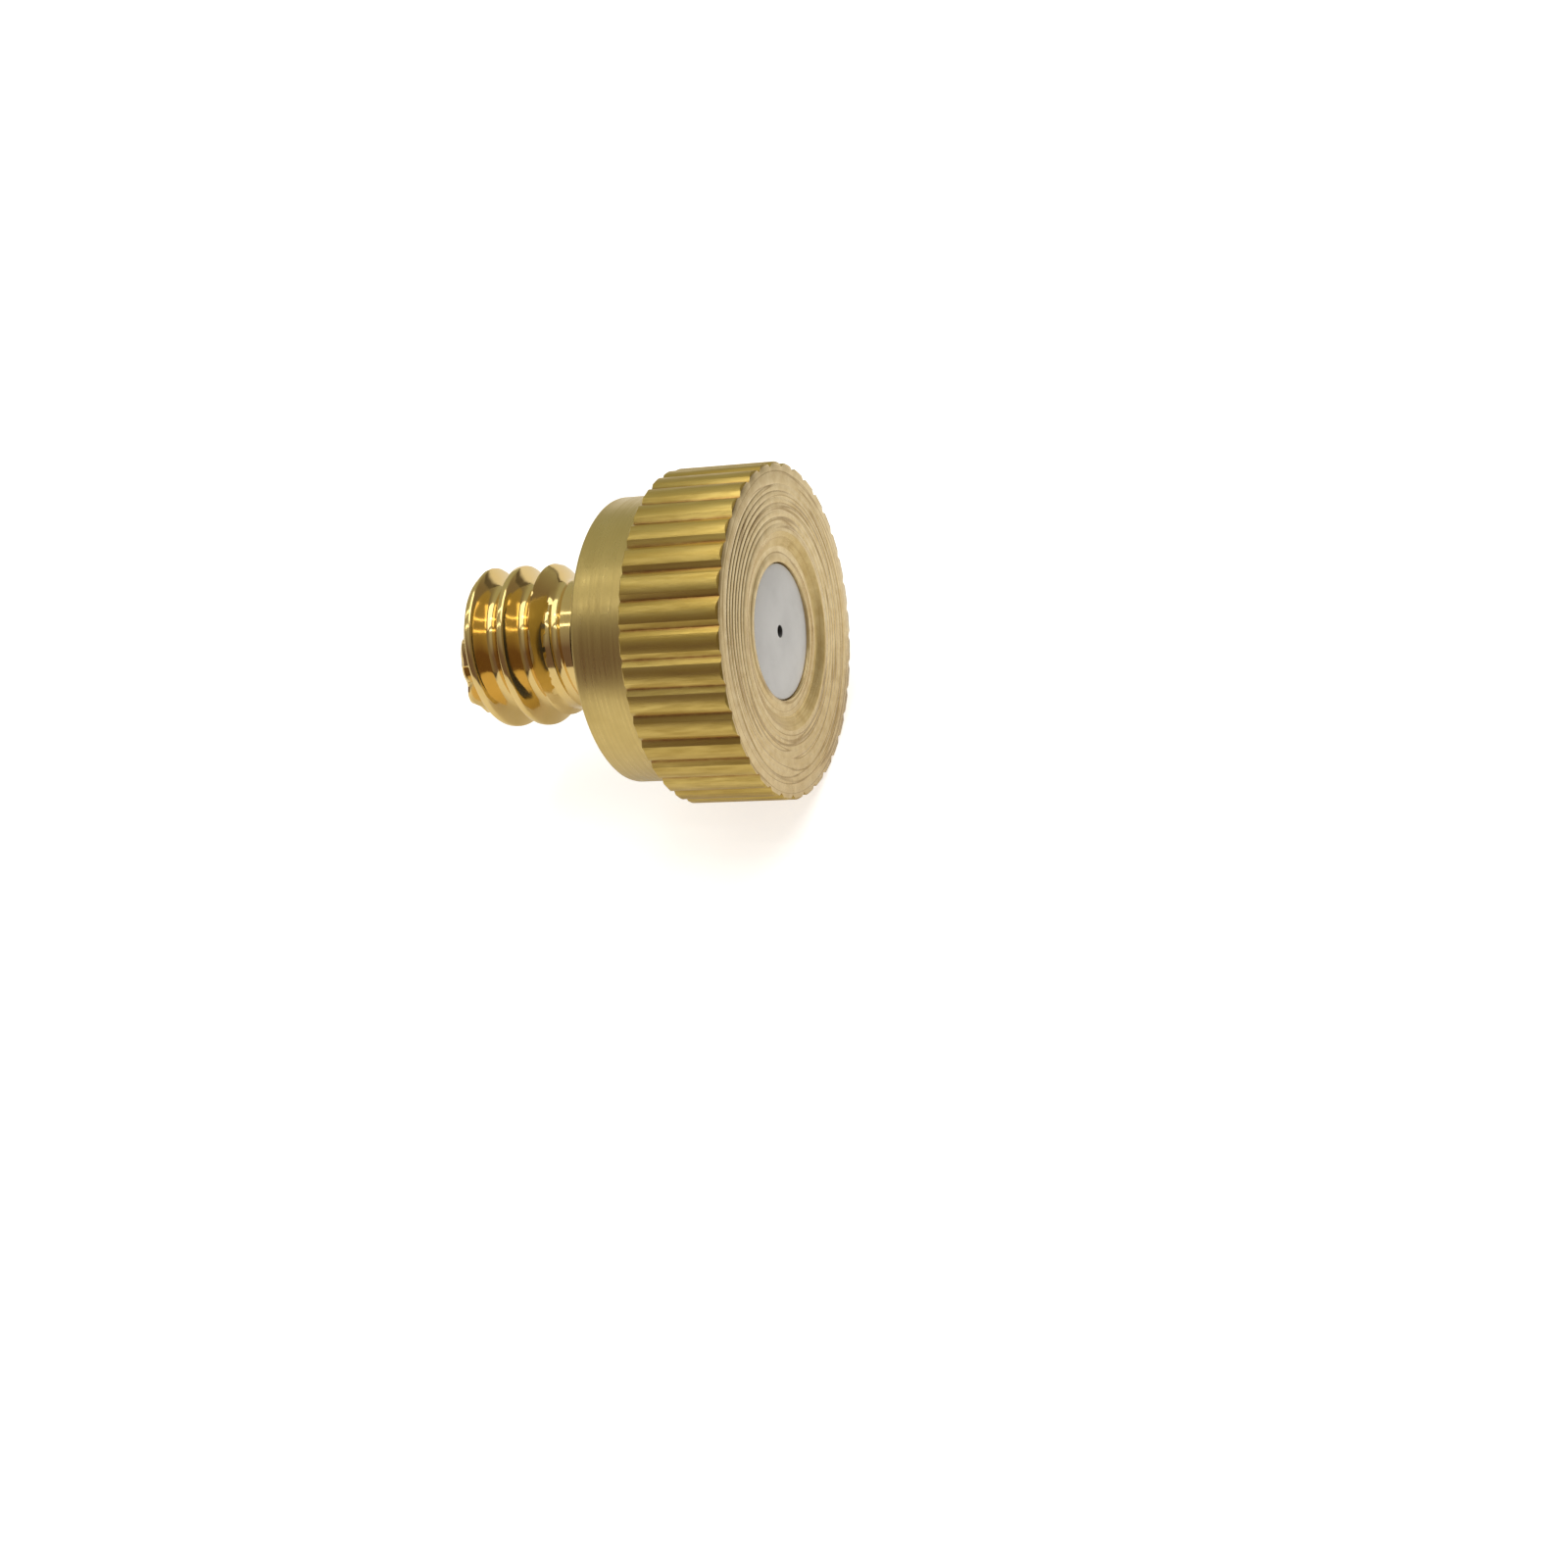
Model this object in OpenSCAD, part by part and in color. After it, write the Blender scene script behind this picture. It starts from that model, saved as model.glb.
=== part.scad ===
// Misting nozzle with a straight-knurled head and a short #10-24 threaded stem.
// The spray axis is +X, +Z is up, and the origin is the centre of the seat face,
// the flat ring behind the collar that lands on the fitting. Millimetres.

/* [Head] */
// Diameter over the knurl
head_d = 9.8; // [9.6:0.1:10.4]
// Length of the knurled band
knurl_len = 3.05; // [2.9:0.05:3.3]
// Number of straight knurl grooves
groove_count = 36; // [30:1:40]
// Width of one knurl groove at the surface
groove_w = 0.36; // [0.25:0.01:0.45]
// Depth of one knurl groove
groove_depth = 0.15; // [0.1:0.01:0.26]
// Angle of the first groove about the spray axis
groove_turn = 5.8; // [0:0.1:12]
// Chamfer on the knurl's front rim
front_chamfer = 0.06; // [0.05:0.01:0.2]
// Chamfer on the knurl's rear rim
rear_chamfer = 0.05; // [0.03:0.01:0.3]
// Diameter of the plain collar behind the knurl
collar_d = 8.4; // [8:0.1:8.8]
// Length of the plain collar
collar_len = 1.85; // [1.6:0.05:2.2]
// Chamfer on the collar's rear edge
collar_chamfer = 0.12; // [0.05:0.01:0.25]

/* [Stem] */
// Length of the stem behind the seat face
stem_len = 4.7; // [4.6:0.05:5.4]
// Diameter of the plain neck, and of the thread's root
neck_d = 3.75; // [3.6:0.05:3.9]
// Diameter over the thread
thread_d = 4.8; // [4.7:0.01:4.82]
// Threads to the inch
threads_per_inch = 24; // [24:1:24]
// Width of the flat on the thread's crest
crest_w = 0.18; // [0.1:0.01:0.2]
// Angle of the crest about the spray axis where it leaves the stem's end
thread_turn = 84; // [0:1:360]
// Length of the plain neck between the seat face and the thread
neck_len = 1.9; // [1.7:0.05:2.1]
// Diameter of the stem's chamfered end face
tip_d = 4.3; // [3.9:0.1:4.4]

/* [Waterway] */
// Diameter of the inlet bore through the stem
inlet_d = 2.0; // [1.6:0.1:2.2]
// Diameter of the inlet's countersunk mouth
mouth_d = 2.7; // [2.4:0.1:3]
// Diameter of the chamber that holds the swirl core
chamber_d = 3.0; // [2.8:0.1:3.2]
// Length of the chamber
chamber_len = 3.3; // [3:0.1:3.3]
// Diameter of the orifice
orifice_d = 0.35; // [0.15:0.05:0.5]

/* [Orifice insert] */
// Diameter of the insert
insert_d = 4.0; // [3.8:0.1:4.2]
// Thickness of the insert
insert_len = 1.48; // [1.3:0.02:1.5]
// Depth of the dished recess in the head's front face
recess_depth = 0.17; // [0.1:0.01:0.2]
// Diameter of the recess at its floor
recess_floor_d = 5.0; // [4.6:0.1:5.2]
// Diameter of the recess at the front face
recess_rim_d = 5.76; // [5.4:0.02:6]
// Diameter of the conical whirl space at the insert's rear
whirl_d = 1.8; // [1.4:0.1:2]

/* [Swirl core] */
// Radial clearance of the core in its chamber
core_clearance = 0.05; // [0.03:0.01:0.08]
// Free travel of the core along the spray axis
core_travel = 0.35; // [0.2:0.05:0.4]
// Gap left at each end of that travel
end_gap = 0.05; // [0.03:0.01:0.08]
// Number of water slots
slot_count = 3; // [2:1:4]
// Width of one water slot
slot_w = 0.5; // [0.3:0.05:0.6]
// Depth of one water slot
slot_depth = 0.6; // [0.4:0.05:0.65]
// Angle between a slot and the spray axis
slot_angle = 25; // [10:1:30]

/* [O-ring] */
// Thickness of the O-ring
ring_section = 1.2; // [1.1:0.05:1.3]
// Depth of the O-ring's groove in the collar
ring_groove_depth = 0.45; // [0.35:0.05:0.5]
// Diameter of the O-ring's groove
ring_groove_d = 6.5; // [6.4:0.1:6.8]

/* [Hidden] */
// Segments on a full circle
$fn = 96;
// Overlap that keeps joined and cut shapes from sharing a face
eps = 0.05;

// Places along the spray axis, from the seat face at 0
front_x = collar_len + knurl_len;
tip_x = -stem_len;
recess_x = front_x - recess_depth;
insert_setback = 0.05;
insert_front_x = recess_x - insert_setback;
insert_rear_x = insert_front_x - insert_len;
chamber_floor_x = insert_rear_x - chamber_len;
core_front_x = insert_rear_x - end_gap;
core_len = chamber_len - 2 * end_gap - core_travel;

// Thread: columns of points round the stem, each one pitch / columns further on
pitch = 25.4 / threads_per_inch;
columns = 30;
ridges = ceil(stem_len / pitch) + 2;
flank_slope = tan(30);
// the thread is cut this much deeper than the neck, so the two never share a face
root_undercut = 0.02;
root_r = neck_d / 2 - root_undercut;
ridge_foot = crest_w / 2 + (thread_d / 2 - root_r) * flank_slope;
column_points = 4 * ridges;

// The O-ring is stretched over the neck by this much on its radius
ring_stretch = 0.02;
ring_r = neck_d / 2 - ring_stretch + ring_section / 2;
ring_x = ring_groove_depth - ring_section / 2;

// The orifice has a broken edge in front, and its hole is this long in all
orifice_break = 0.02;
orifice_land = 0.3;

// The swirl core has a round pocket in its front face and a chamfer behind
pocket_d = 1.4;
pocket_depth = 0.25;
core_chamfer = 0.12;

// Turns a shape that is built up +Z so that it lies along the spray axis
module along_x(x = 0) translate([x, 0, 0]) rotate([0, 90, 0]) children();

// A plain round hole or bar that starts at x and runs forward
module bar(x, d, len) along_x(x) cylinder(d = d, h = len);

// A round bar whose diameter changes evenly from d1 to d2
module cone(x, d1, d2, len) along_x(x) cylinder(d1 = d1, d2 = d2, h = len);

// --- Knurled head -------------------------------------------------------

module knurl_outline() {
    r = head_d / 2;
    // the V is drawn past the rim so that it cuts the surface cleanly
    over = 0.1;
    half_over = groove_w / 2 * (groove_depth + over) / groove_depth;
    difference() {
        circle(r = r);
        for (i = [0 : groove_count - 1])
            rotate(groove_turn + i * 360 / groove_count)
                polygon([[r - groove_depth, 0], [r + over, -half_over], [r + over, half_over]]);
    }
}

module knurl_envelope() {
    r = head_d / 2;
    along_x(collar_len)
        rotate_extrude()
            polygon([
                [0, 0], [r - rear_chamfer, 0], [r + eps, rear_chamfer + eps],
                [r + eps, knurl_len - front_chamfer - eps], [r - front_chamfer, knurl_len],
                [0, knurl_len]
            ]);
}

module knurled_band() {
    intersection() {
        along_x(collar_len - eps) linear_extrude(knurl_len + 2 * eps) knurl_outline();
        knurl_envelope();
    }
}

module collar() {
    r = collar_d / 2;
    along_x(0)
        rotate_extrude()
            polygon([
                [0, 0], [r - collar_chamfer, 0], [r, collar_chamfer],
                [r, collar_len + eps], [0, collar_len + eps]
            ]);
}

// --- Threaded stem ------------------------------------------------------

// One ridge of the thread in a column, as [radius, offset along the axis]
ridge_profile = [
    [root_r, -ridge_foot], [thread_d / 2, -crest_w / 2],
    [thread_d / 2, crest_w / 2], [root_r, ridge_foot]
];

function column(j) = [
    for (k = [0 : ridges - 1], p = ridge_profile)
        let (angle = thread_turn + 360 * j / columns)
        [p[0] * cos(angle), p[0] * sin(angle), p[1] + pitch * (k - 2 + j / columns)]
];

// Point i of column j. Past the last column it is column 0, one ridge further on.
function at(j, i) = j < columns ? column_points * j + i : i + 4;

// A threaded rod, longer than the thread at both ends, as one closed surface
module threaded_rod() {
    last = column_points - 1;
    tail = columns * column_points;
    nose = tail + 1;
    points = concat(
        [for (j = [0 : columns - 1]) each column(j)],
        [[0, 0, -3 * pitch], [0, 0, ridges * pitch]]
    );
    walls = [
        for (j = [0 : columns - 1], i = [0 : last - (j == columns - 1 ? 5 : 1)])
            each [[at(j, i), at(j, i + 1), at(j + 1, i)], [at(j, i + 1), at(j + 1, i + 1), at(j + 1, i)]]
    ];
    tail_fan = [for (j = [0 : columns - 1]) [tail, at(j, 0), at(j + 1, 0)]];
    tail_step = [for (i = [0 : 3]) [tail, i + 1, i]];
    nose_fan = [
        for (j = [0 : columns - 1])
            let (end = j == columns - 1 ? last - 4 : last) [nose, at(j + 1, end), at(j, end)]
    ];
    nose_step = [for (i = [last - 4 : last - 1]) [nose, at(columns - 1, i), at(columns - 1, i + 1)]];
    along_x(tip_x)
        polyhedron(points = points, faces = concat(walls, tail_fan, tail_step, nose_fan, nose_step));
}

// Space that the thread may fill: chamfered at the stem's end, relieved at the neck
module thread_envelope() {
    over = thread_d + 2 * eps;
    chamfer_len = (over - tip_d) / 2;
    relief_len = (over - neck_d) / 2;
    relief_x = -neck_len - relief_len;
    cone(tip_x, tip_d, over, chamfer_len);
    bar(tip_x + chamfer_len, over, relief_x - tip_x - chamfer_len);
    cone(relief_x, over, neck_d, relief_len);
}

module stem() {
    intersection() {
        threaded_rod();
        thread_envelope();
    }
    bar(-neck_len - eps, neck_d, neck_len + ring_groove_depth + 2 * eps);
}

// --- Waterway and seats -------------------------------------------------

module ring_groove() {
    along_x(-eps)
        difference() {
            cylinder(d = ring_groove_d, h = ring_groove_depth + eps);
            translate([0, 0, -eps]) cylinder(d = neck_d, h = ring_groove_depth + 3 * eps);
        }
}

module waterway() {
    mouth_len = (mouth_d - inlet_d) / 2;
    cone(tip_x - eps, mouth_d + 2 * eps, inlet_d, mouth_len + eps);
    bar(tip_x - eps, inlet_d, stem_len + chamber_floor_x + 2 * eps);
    bar(chamber_floor_x, chamber_d, chamber_len + eps);
    bar(insert_rear_x, insert_d, front_x);
    // dished recess in the front face
    recess_slope = (recess_rim_d - recess_floor_d) / recess_depth;
    cone(recess_x, recess_floor_d, recess_rim_d + recess_slope * eps, recess_depth + eps);
}

module nozzle_body() {
    color([0.71, 0.60, 0.30])
        difference() {
            union() {
                stem();
                difference() {
                    union() {
                        collar();
                        knurled_band();
                    }
                    ring_groove();
                }
            }
            waterway();
        }
}

// --- Loose and pressed pieces -------------------------------------------

module orifice_insert() {
    r = insert_d / 2;
    hole_r = orifice_d / 2;
    color([0.75, 0.75, 0.76])
        along_x(insert_rear_x)
            rotate_extrude()
                polygon([
                    [whirl_d / 2, 0], [r, 0], [r, insert_len],
                    [hole_r + orifice_break, insert_len], [hole_r, insert_len - orifice_break],
                    [hole_r, insert_len - orifice_land]
                ]);
}

module core_slot() {
    r = chamber_d / 2 - core_clearance;
    reach = 2 * core_len;
    translate([r - slot_depth, 0, core_len / 2])
        rotate([slot_angle, 0, 0])
            translate([0, -slot_w / 2, -reach / 2]) cube([slot_depth + r, slot_w, reach]);
}

module swirl_core() {
    d = chamber_d - 2 * core_clearance;
    color([0.66, 0.66, 0.68])
        along_x(core_front_x - core_len)
            difference() {
                union() {
                    cylinder(d1 = d - 2 * core_chamfer, d2 = d, h = core_chamfer);
                    translate([0, 0, core_chamfer]) cylinder(d = d, h = core_len - core_chamfer);
                }
                for (i = [0 : slot_count - 1])
                    rotate(i * 360 / slot_count) core_slot();
                translate([0, 0, core_len - pocket_depth]) cylinder(d = pocket_d, h = pocket_depth + eps);
            }
}

module o_ring() {
    color([0.06, 0.06, 0.07])
        along_x(ring_x)
            rotate_extrude() translate([ring_r, 0]) circle(d = ring_section, $fn = 48);
}

nozzle_body();
orifice_insert();
swirl_core();
o_ring();
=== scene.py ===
"""A small brass misting nozzle on a pale floor, under soft studio light.

The spray axis is +X and the origin is the centre of the seat face behind the collar.
Sizes are in millimetres, and a piece is scaled to metres when it is finished.
"""

import logging
import math
from dataclasses import dataclass, field
from enum import Enum, IntEnum
from typing import Any, ClassVar, Iterable, Sequence

import bmesh
import bpy
from mathutils import Matrix, Vector, noise


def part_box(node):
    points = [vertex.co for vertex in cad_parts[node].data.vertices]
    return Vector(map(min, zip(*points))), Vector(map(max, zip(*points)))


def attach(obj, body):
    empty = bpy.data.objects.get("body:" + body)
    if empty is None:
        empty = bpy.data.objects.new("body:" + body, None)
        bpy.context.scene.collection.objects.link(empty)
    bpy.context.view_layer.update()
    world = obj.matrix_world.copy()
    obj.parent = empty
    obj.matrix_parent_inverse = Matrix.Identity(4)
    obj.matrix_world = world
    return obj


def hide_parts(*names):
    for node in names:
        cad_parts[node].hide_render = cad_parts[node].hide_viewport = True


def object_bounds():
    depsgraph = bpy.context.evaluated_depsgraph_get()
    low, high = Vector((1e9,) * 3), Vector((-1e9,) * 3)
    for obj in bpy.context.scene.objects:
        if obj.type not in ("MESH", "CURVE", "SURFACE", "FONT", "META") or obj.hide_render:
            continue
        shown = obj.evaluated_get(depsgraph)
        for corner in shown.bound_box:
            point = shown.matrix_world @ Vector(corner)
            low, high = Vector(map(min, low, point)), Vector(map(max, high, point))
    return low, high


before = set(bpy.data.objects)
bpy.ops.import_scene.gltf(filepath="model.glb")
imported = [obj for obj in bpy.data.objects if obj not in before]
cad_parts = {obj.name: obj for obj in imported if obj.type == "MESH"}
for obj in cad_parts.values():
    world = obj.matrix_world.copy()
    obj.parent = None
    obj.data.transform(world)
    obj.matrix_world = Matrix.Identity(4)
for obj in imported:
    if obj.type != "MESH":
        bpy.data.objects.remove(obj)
CAD_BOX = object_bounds()

MM = 0.001
MERGE_GAP = 1e-4
CUT_GAP = 0.01
NECK_R = 1.875
FULL_TURN = 2.0 * math.pi
TEETH = 36
STEPS_PER_TOOTH = 6
STEPS_AROUND = TEETH * STEPS_PER_TOOTH
SPRAY_AXIS = Vector((1.0, 0.0, 0.0))
SHARP_ANGLE = math.radians(32.0)

NOISE_MIDDLE = 0.5
STREAK_RANGE = (0.36, 0.64)
GRAIN_RANGE = (0.3, 0.7)

Colour = tuple[float, float, float, float]
Socket = bpy.types.NodeSocket

log = logging.getLogger("misting_nozzle")


# --- Shader wiring -------------------------------------------------------------------------


class Wiring:
    """Adds nodes to one node tree and joins them."""

    def __init__(self, tree: bpy.types.NodeTree) -> None:
        """Keeps the tree and empties it.

        Args:
            tree: The node tree of a material, a world or a group.
        """
        self.tree = tree
        tree.nodes.clear()

    @staticmethod
    def socket(sockets: Any, key: str | int) -> Socket:
        """Finds a socket by its place, its identifier or its name.

        Args:
            sockets: A node's inputs or outputs.
            key: The socket's index, identifier or name.

        Returns:
            The socket.
        """
        if isinstance(key, int):
            return sockets[key]
        matches = [s for s in sockets if s.identifier == key]
        return matches[0] if matches else sockets[key]

    def add(self, kind: str, inputs: dict[str | int, Any] | None = None, **settings: Any) -> bpy.types.Node:
        """Adds a node.

        Args:
            kind: The node's type.
            inputs: What each input takes: a socket to join to it, or a value.
            settings: The node's own properties.

        Returns:
            The new node.
        """
        node = self.tree.nodes.new(kind)
        for name, value in settings.items():
            setattr(node, name, value)
        for key, value in (inputs or {}).items():
            target = self.socket(node.inputs, key)
            if isinstance(value, Socket):
                self.tree.links.new(value, target)
            else:
                target.default_value = value
        return node

    def math(self, operation: str, first: Any, second: Any = 0.0) -> Socket:
        """Adds a Math node and returns its result."""
        return self.add("ShaderNodeMath", {0: first, 1: second}, operation=operation).outputs[0]

    def vector(self, operation: str, first: Any, second: Any = (0.0, 0.0, 0.0)) -> Socket:
        """Adds a Vector Math node and returns its vector."""
        return self.add("ShaderNodeVectorMath", {0: first, 1: second}, operation=operation).outputs[0]

    def remap(self, value: Any, low: Any, high: Any, to_low: Any = 0.0, to_high: Any = 1.0) -> Socket:
        """Maps a value from one range to another, clamped, and returns the result."""
        inputs = {"Value": value, "From Min": low, "From Max": high, "To Min": to_low, "To Max": to_high}
        return self.add("ShaderNodeMapRange", inputs).outputs[0]

    def blend(self, amount: Any, first: Any, second: Any) -> Socket:
        """Mixes two colours.

        Args:
            amount: How much of the second colour shows, from 0 to 1.
            first: The first colour.
            second: The second colour.

        Returns:
            The mixture.
        """
        inputs = {"Factor_Float": amount, "A_Color": first, "B_Color": second}
        node = self.add("ShaderNodeMix", inputs, data_type="RGBA")
        return self.socket(node.outputs, "Result_Color")

    def noise(self, place: Any, scale: Any = 1.0, detail: float = 3.0, roughness: float = 0.55) -> Socket:
        """Adds a Noise Texture and returns its value."""
        inputs = {"Vector": place, "Scale": scale, "Detail": detail, "Roughness": roughness}
        return self.add("ShaderNodeTexNoise", inputs).outputs[0]

    def place_in_mm(self) -> Socket:
        """Finds the surface's own place.

        Returns:
            The place in millimetres.
        """
        place = self.add("ShaderNodeTexCoord").outputs["Object"]
        node = self.add("ShaderNodeVectorMath", {0: place, "Scale": 1.0 / MM}, operation="SCALE")
        return node.outputs[0]

    def radius_in_mm(self, place: Socket) -> Socket:
        """Returns the distance from the spray axis in millimetres."""
        across = self.vector("MULTIPLY", place, (0.0, 1.0, 1.0))
        return self.add("ShaderNodeVectorMath", {0: across}, operation="LENGTH").outputs["Value"]

    def bump(self, height: Socket, depth: float) -> Socket:
        """Turns a height into a normal, with its depth in millimetres."""
        return self.add("ShaderNodeBump", {"Height": height, "Distance": depth * MM}).outputs[0]

    def surface(self, inputs: dict[str | int, Any]) -> None:
        """Adds the Principled shader and joins it to the material's output."""
        shader = self.add("ShaderNodeBsdfPrincipled", inputs)
        self.add("ShaderNodeOutputMaterial", {"Surface": shader.outputs[0]})


def new_material(title: str) -> tuple[bpy.types.Material, Wiring]:
    """Makes an empty material.

    Args:
        title: The material's name.

    Returns:
        The material, and the wiring of its node tree.
    """
    material = bpy.data.materials.new(title)
    material.use_nodes = True
    return material, Wiring(material.node_tree)


@dataclass(frozen=True)
class GroupSocket:
    """A named input of a shader group, with its usual value."""

    name: str
    value: float


class SurfaceGroup:
    """A shader group that several finishes share, built once."""

    title = "surface_group"
    takes: tuple[GroupSocket, ...] = ()
    gives: tuple[str, ...] = ()

    def __init__(self) -> None:
        """Makes the group's sockets and wires its inside."""
        self.tree = bpy.data.node_groups.new(self.title, "ShaderNodeTree")
        for taken in self.takes:
            made = self.tree.interface.new_socket(
                name=taken.name, in_out="INPUT", socket_type="NodeSocketFloat")
            made.default_value = taken.value
        for given in self.gives:
            self.tree.interface.new_socket(name=given, in_out="OUTPUT", socket_type="NodeSocketFloat")
        wiring = Wiring(self.tree)
        entry = wiring.add("NodeGroupInput")
        leave = wiring.add("NodeGroupOutput")
        for name, socket in self.wire(wiring, entry).items():
            self.tree.links.new(socket, leave.inputs[name])

    def wire(self, wiring: Wiring, entry: bpy.types.Node) -> dict[str, Socket]:
        """Wires the group's inside.

        Args:
            wiring: The group's own tree.
            entry: The node that holds the group's inputs.

        Returns:
            What each output puts out.
        """
        raise NotImplementedError

    def use(self, wiring: Wiring, values: dict[str, float]) -> bpy.types.Node:
        """Places the group in a material with its own values."""
        return wiring.add("ShaderNodeGroup", values, node_tree=self.tree)


class LatheMarks(SurfaceGroup):
    """Fine tool marks that run round the spray axis, on a face or along a bar."""

    title = "lathe_marks"
    takes = (GroupSocket("On Face", 0.0), GroupSocket("Spacing", 0.1))
    gives = ("Height", "Streak", "Line")
    drift = 0.16
    coarse_detail = 1.5
    fine_share = 3.1
    fine_height = 0.5
    line_width = 0.05

    def wire(self, wiring: Wiring, entry: bpy.types.Node) -> dict[str, Socket]:
        """Wires noise that is stretched round the axis.

        Args:
            wiring: The group's own tree.
            entry: The node that holds the group's inputs.

        Returns:
            What each output puts out.
        """
        place = wiring.place_in_mm()
        parts = wiring.add("ShaderNodeSeparateXYZ", {0: place})
        radius = wiring.radius_in_mm(place)
        outward = wiring.math("SUBTRACT", radius, parts.outputs[0])
        toward_face = wiring.math("MULTIPLY", outward, entry.outputs["On Face"])
        along = wiring.math("ADD", parts.outputs[0], toward_face)
        coarse_along = wiring.math("DIVIDE", along, entry.outputs["Spacing"])
        fine_along = wiring.math("MULTIPLY", coarse_along, self.fine_share)
        slow_y = wiring.math("MULTIPLY", parts.outputs[1], self.drift)
        slow_z = wiring.math("MULTIPLY", parts.outputs[2], self.drift)
        coarse_place = wiring.add("ShaderNodeCombineXYZ", {0: coarse_along, 1: slow_y, 2: slow_z}).outputs[0]
        coarse = wiring.noise(coarse_place, detail=self.coarse_detail)
        fine_place = wiring.add("ShaderNodeCombineXYZ", {0: fine_along, 1: slow_z, 2: slow_y}).outputs[0]
        fine = wiring.noise(fine_place)
        height = wiring.math("ADD", coarse, wiring.math("MULTIPLY", fine, self.fine_height))
        off_line = wiring.math("ABSOLUTE", wiring.math("SUBTRACT", coarse, NOISE_MIDDLE))
        line = wiring.remap(off_line, 0.0, self.line_width, 1.0, 0.0)
        return {"Height": height, "Streak": wiring.remap(coarse, *STREAK_RANGE), "Line": line}


class DrawnMarks(SurfaceGroup):
    """Long streaks that run along the spray axis, as a knurling wheel leaves them."""

    title = "drawn_marks"
    takes = (GroupSocket("Spacing", 0.3),)
    gives = ("Height", "Streak")
    stretch = 0.12

    def wire(self, wiring: Wiring, entry: bpy.types.Node) -> dict[str, Socket]:
        """Wires noise that is stretched along the axis.

        Args:
            wiring: The group's own tree.
            entry: The node that holds the group's inputs.

        Returns:
            What each output puts out.
        """
        place = wiring.place_in_mm()
        drawn = wiring.vector("MULTIPLY", place, (self.stretch, 1.0, 1.0))
        count = wiring.math("DIVIDE", 1.0, entry.outputs["Spacing"])
        cloud = wiring.noise(drawn, count, detail=4.0, roughness=0.6)
        return {"Height": cloud, "Streak": wiring.remap(cloud, *STREAK_RANGE)}


class Blotches(SurfaceGroup):
    """Soft-edged patches of stain or wear."""

    title = "blotches"
    takes = (GroupSocket("Size", 1.0), GroupSocket("Cover", 0.5))
    gives = ("Patch",)
    softness = 0.16
    edge_range = (0.72, 0.28)

    def wire(self, wiring: Wiring, entry: bpy.types.Node) -> dict[str, Socket]:
        """Wires noise that is cut at the wanted cover.

        Args:
            wiring: The group's own tree.
            entry: The node that holds the group's inputs.

        Returns:
            What each output puts out.
        """
        size = wiring.math("DIVIDE", 1.0, entry.outputs["Size"])
        cloud = wiring.noise(wiring.place_in_mm(), size, detail=5.0, roughness=0.6)
        edge = wiring.remap(entry.outputs["Cover"], 0.0, 1.0, *self.edge_range)
        low = wiring.math("SUBTRACT", edge, self.softness)
        high = wiring.math("ADD", edge, self.softness)
        return {"Patch": wiring.remap(cloud, low, high)}


class RadialDarkening(SurfaceGroup):
    """Darkens the colour below a given radius: toward a knurl's groove bottoms, and as painted shade round
    the spray hole.
    """

    title = "radial_darkening"
    takes = (GroupSocket("Plain Radius", 4.85), GroupSocket("Darkest Radius", 4.7))
    gives = ("Darkening",)
    mottle_scale = 2.6
    mottle_range = (0.3, 0.65)
    least_darkening = 0.55

    def wire(self, wiring: Wiring, entry: bpy.types.Node) -> dict[str, Socket]:
        """Wires a fade by radius that a little noise breaks up.

        Args:
            wiring: The group's own tree.
            entry: The node that holds the group's inputs.

        Returns:
            What each output puts out.
        """
        place = wiring.place_in_mm()
        radius = wiring.radius_in_mm(place)
        depth = wiring.remap(radius, entry.outputs["Plain Radius"], entry.outputs["Darkest Radius"])
        mottle = wiring.noise(place, self.mottle_scale, detail=4.0)
        uneven = wiring.remap(mottle, *self.mottle_range, self.least_darkening, 1.0)
        return {"Darkening": wiring.math("MULTIPLY", depth, uneven)}


class Grain(SurfaceGroup):
    """A fine even tooth, as on ground steel or moulded rubber."""

    title = "grain"
    takes = (GroupSocket("Size", 0.05),)
    gives = ("Height",)

    def wire(self, wiring: Wiring, entry: bpy.types.Node) -> dict[str, Socket]:
        """Wires fine noise."""
        size = wiring.math("DIVIDE", 1.0, entry.outputs["Size"])
        return {"Height": wiring.noise(wiring.place_in_mm(), size, detail=4.0)}


@dataclass
class SurfaceGroups:
    """The shader groups that the finishes share."""

    lathe_marks: LatheMarks = field(default_factory=LatheMarks)
    drawn_marks: DrawnMarks = field(default_factory=DrawnMarks)
    blotches: Blotches = field(default_factory=Blotches)
    darkening: RadialDarkening = field(default_factory=RadialDarkening)
    grain: Grain = field(default_factory=Grain)


# --- Finishes ------------------------------------------------------------------------------


class MarkRun(Enum):
    """How the tool marks run over a surface."""

    ROUND_BAR = "round a bar"
    ROUND_FACE = "round a face"
    LENGTHWISE = "along the axis"


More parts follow.
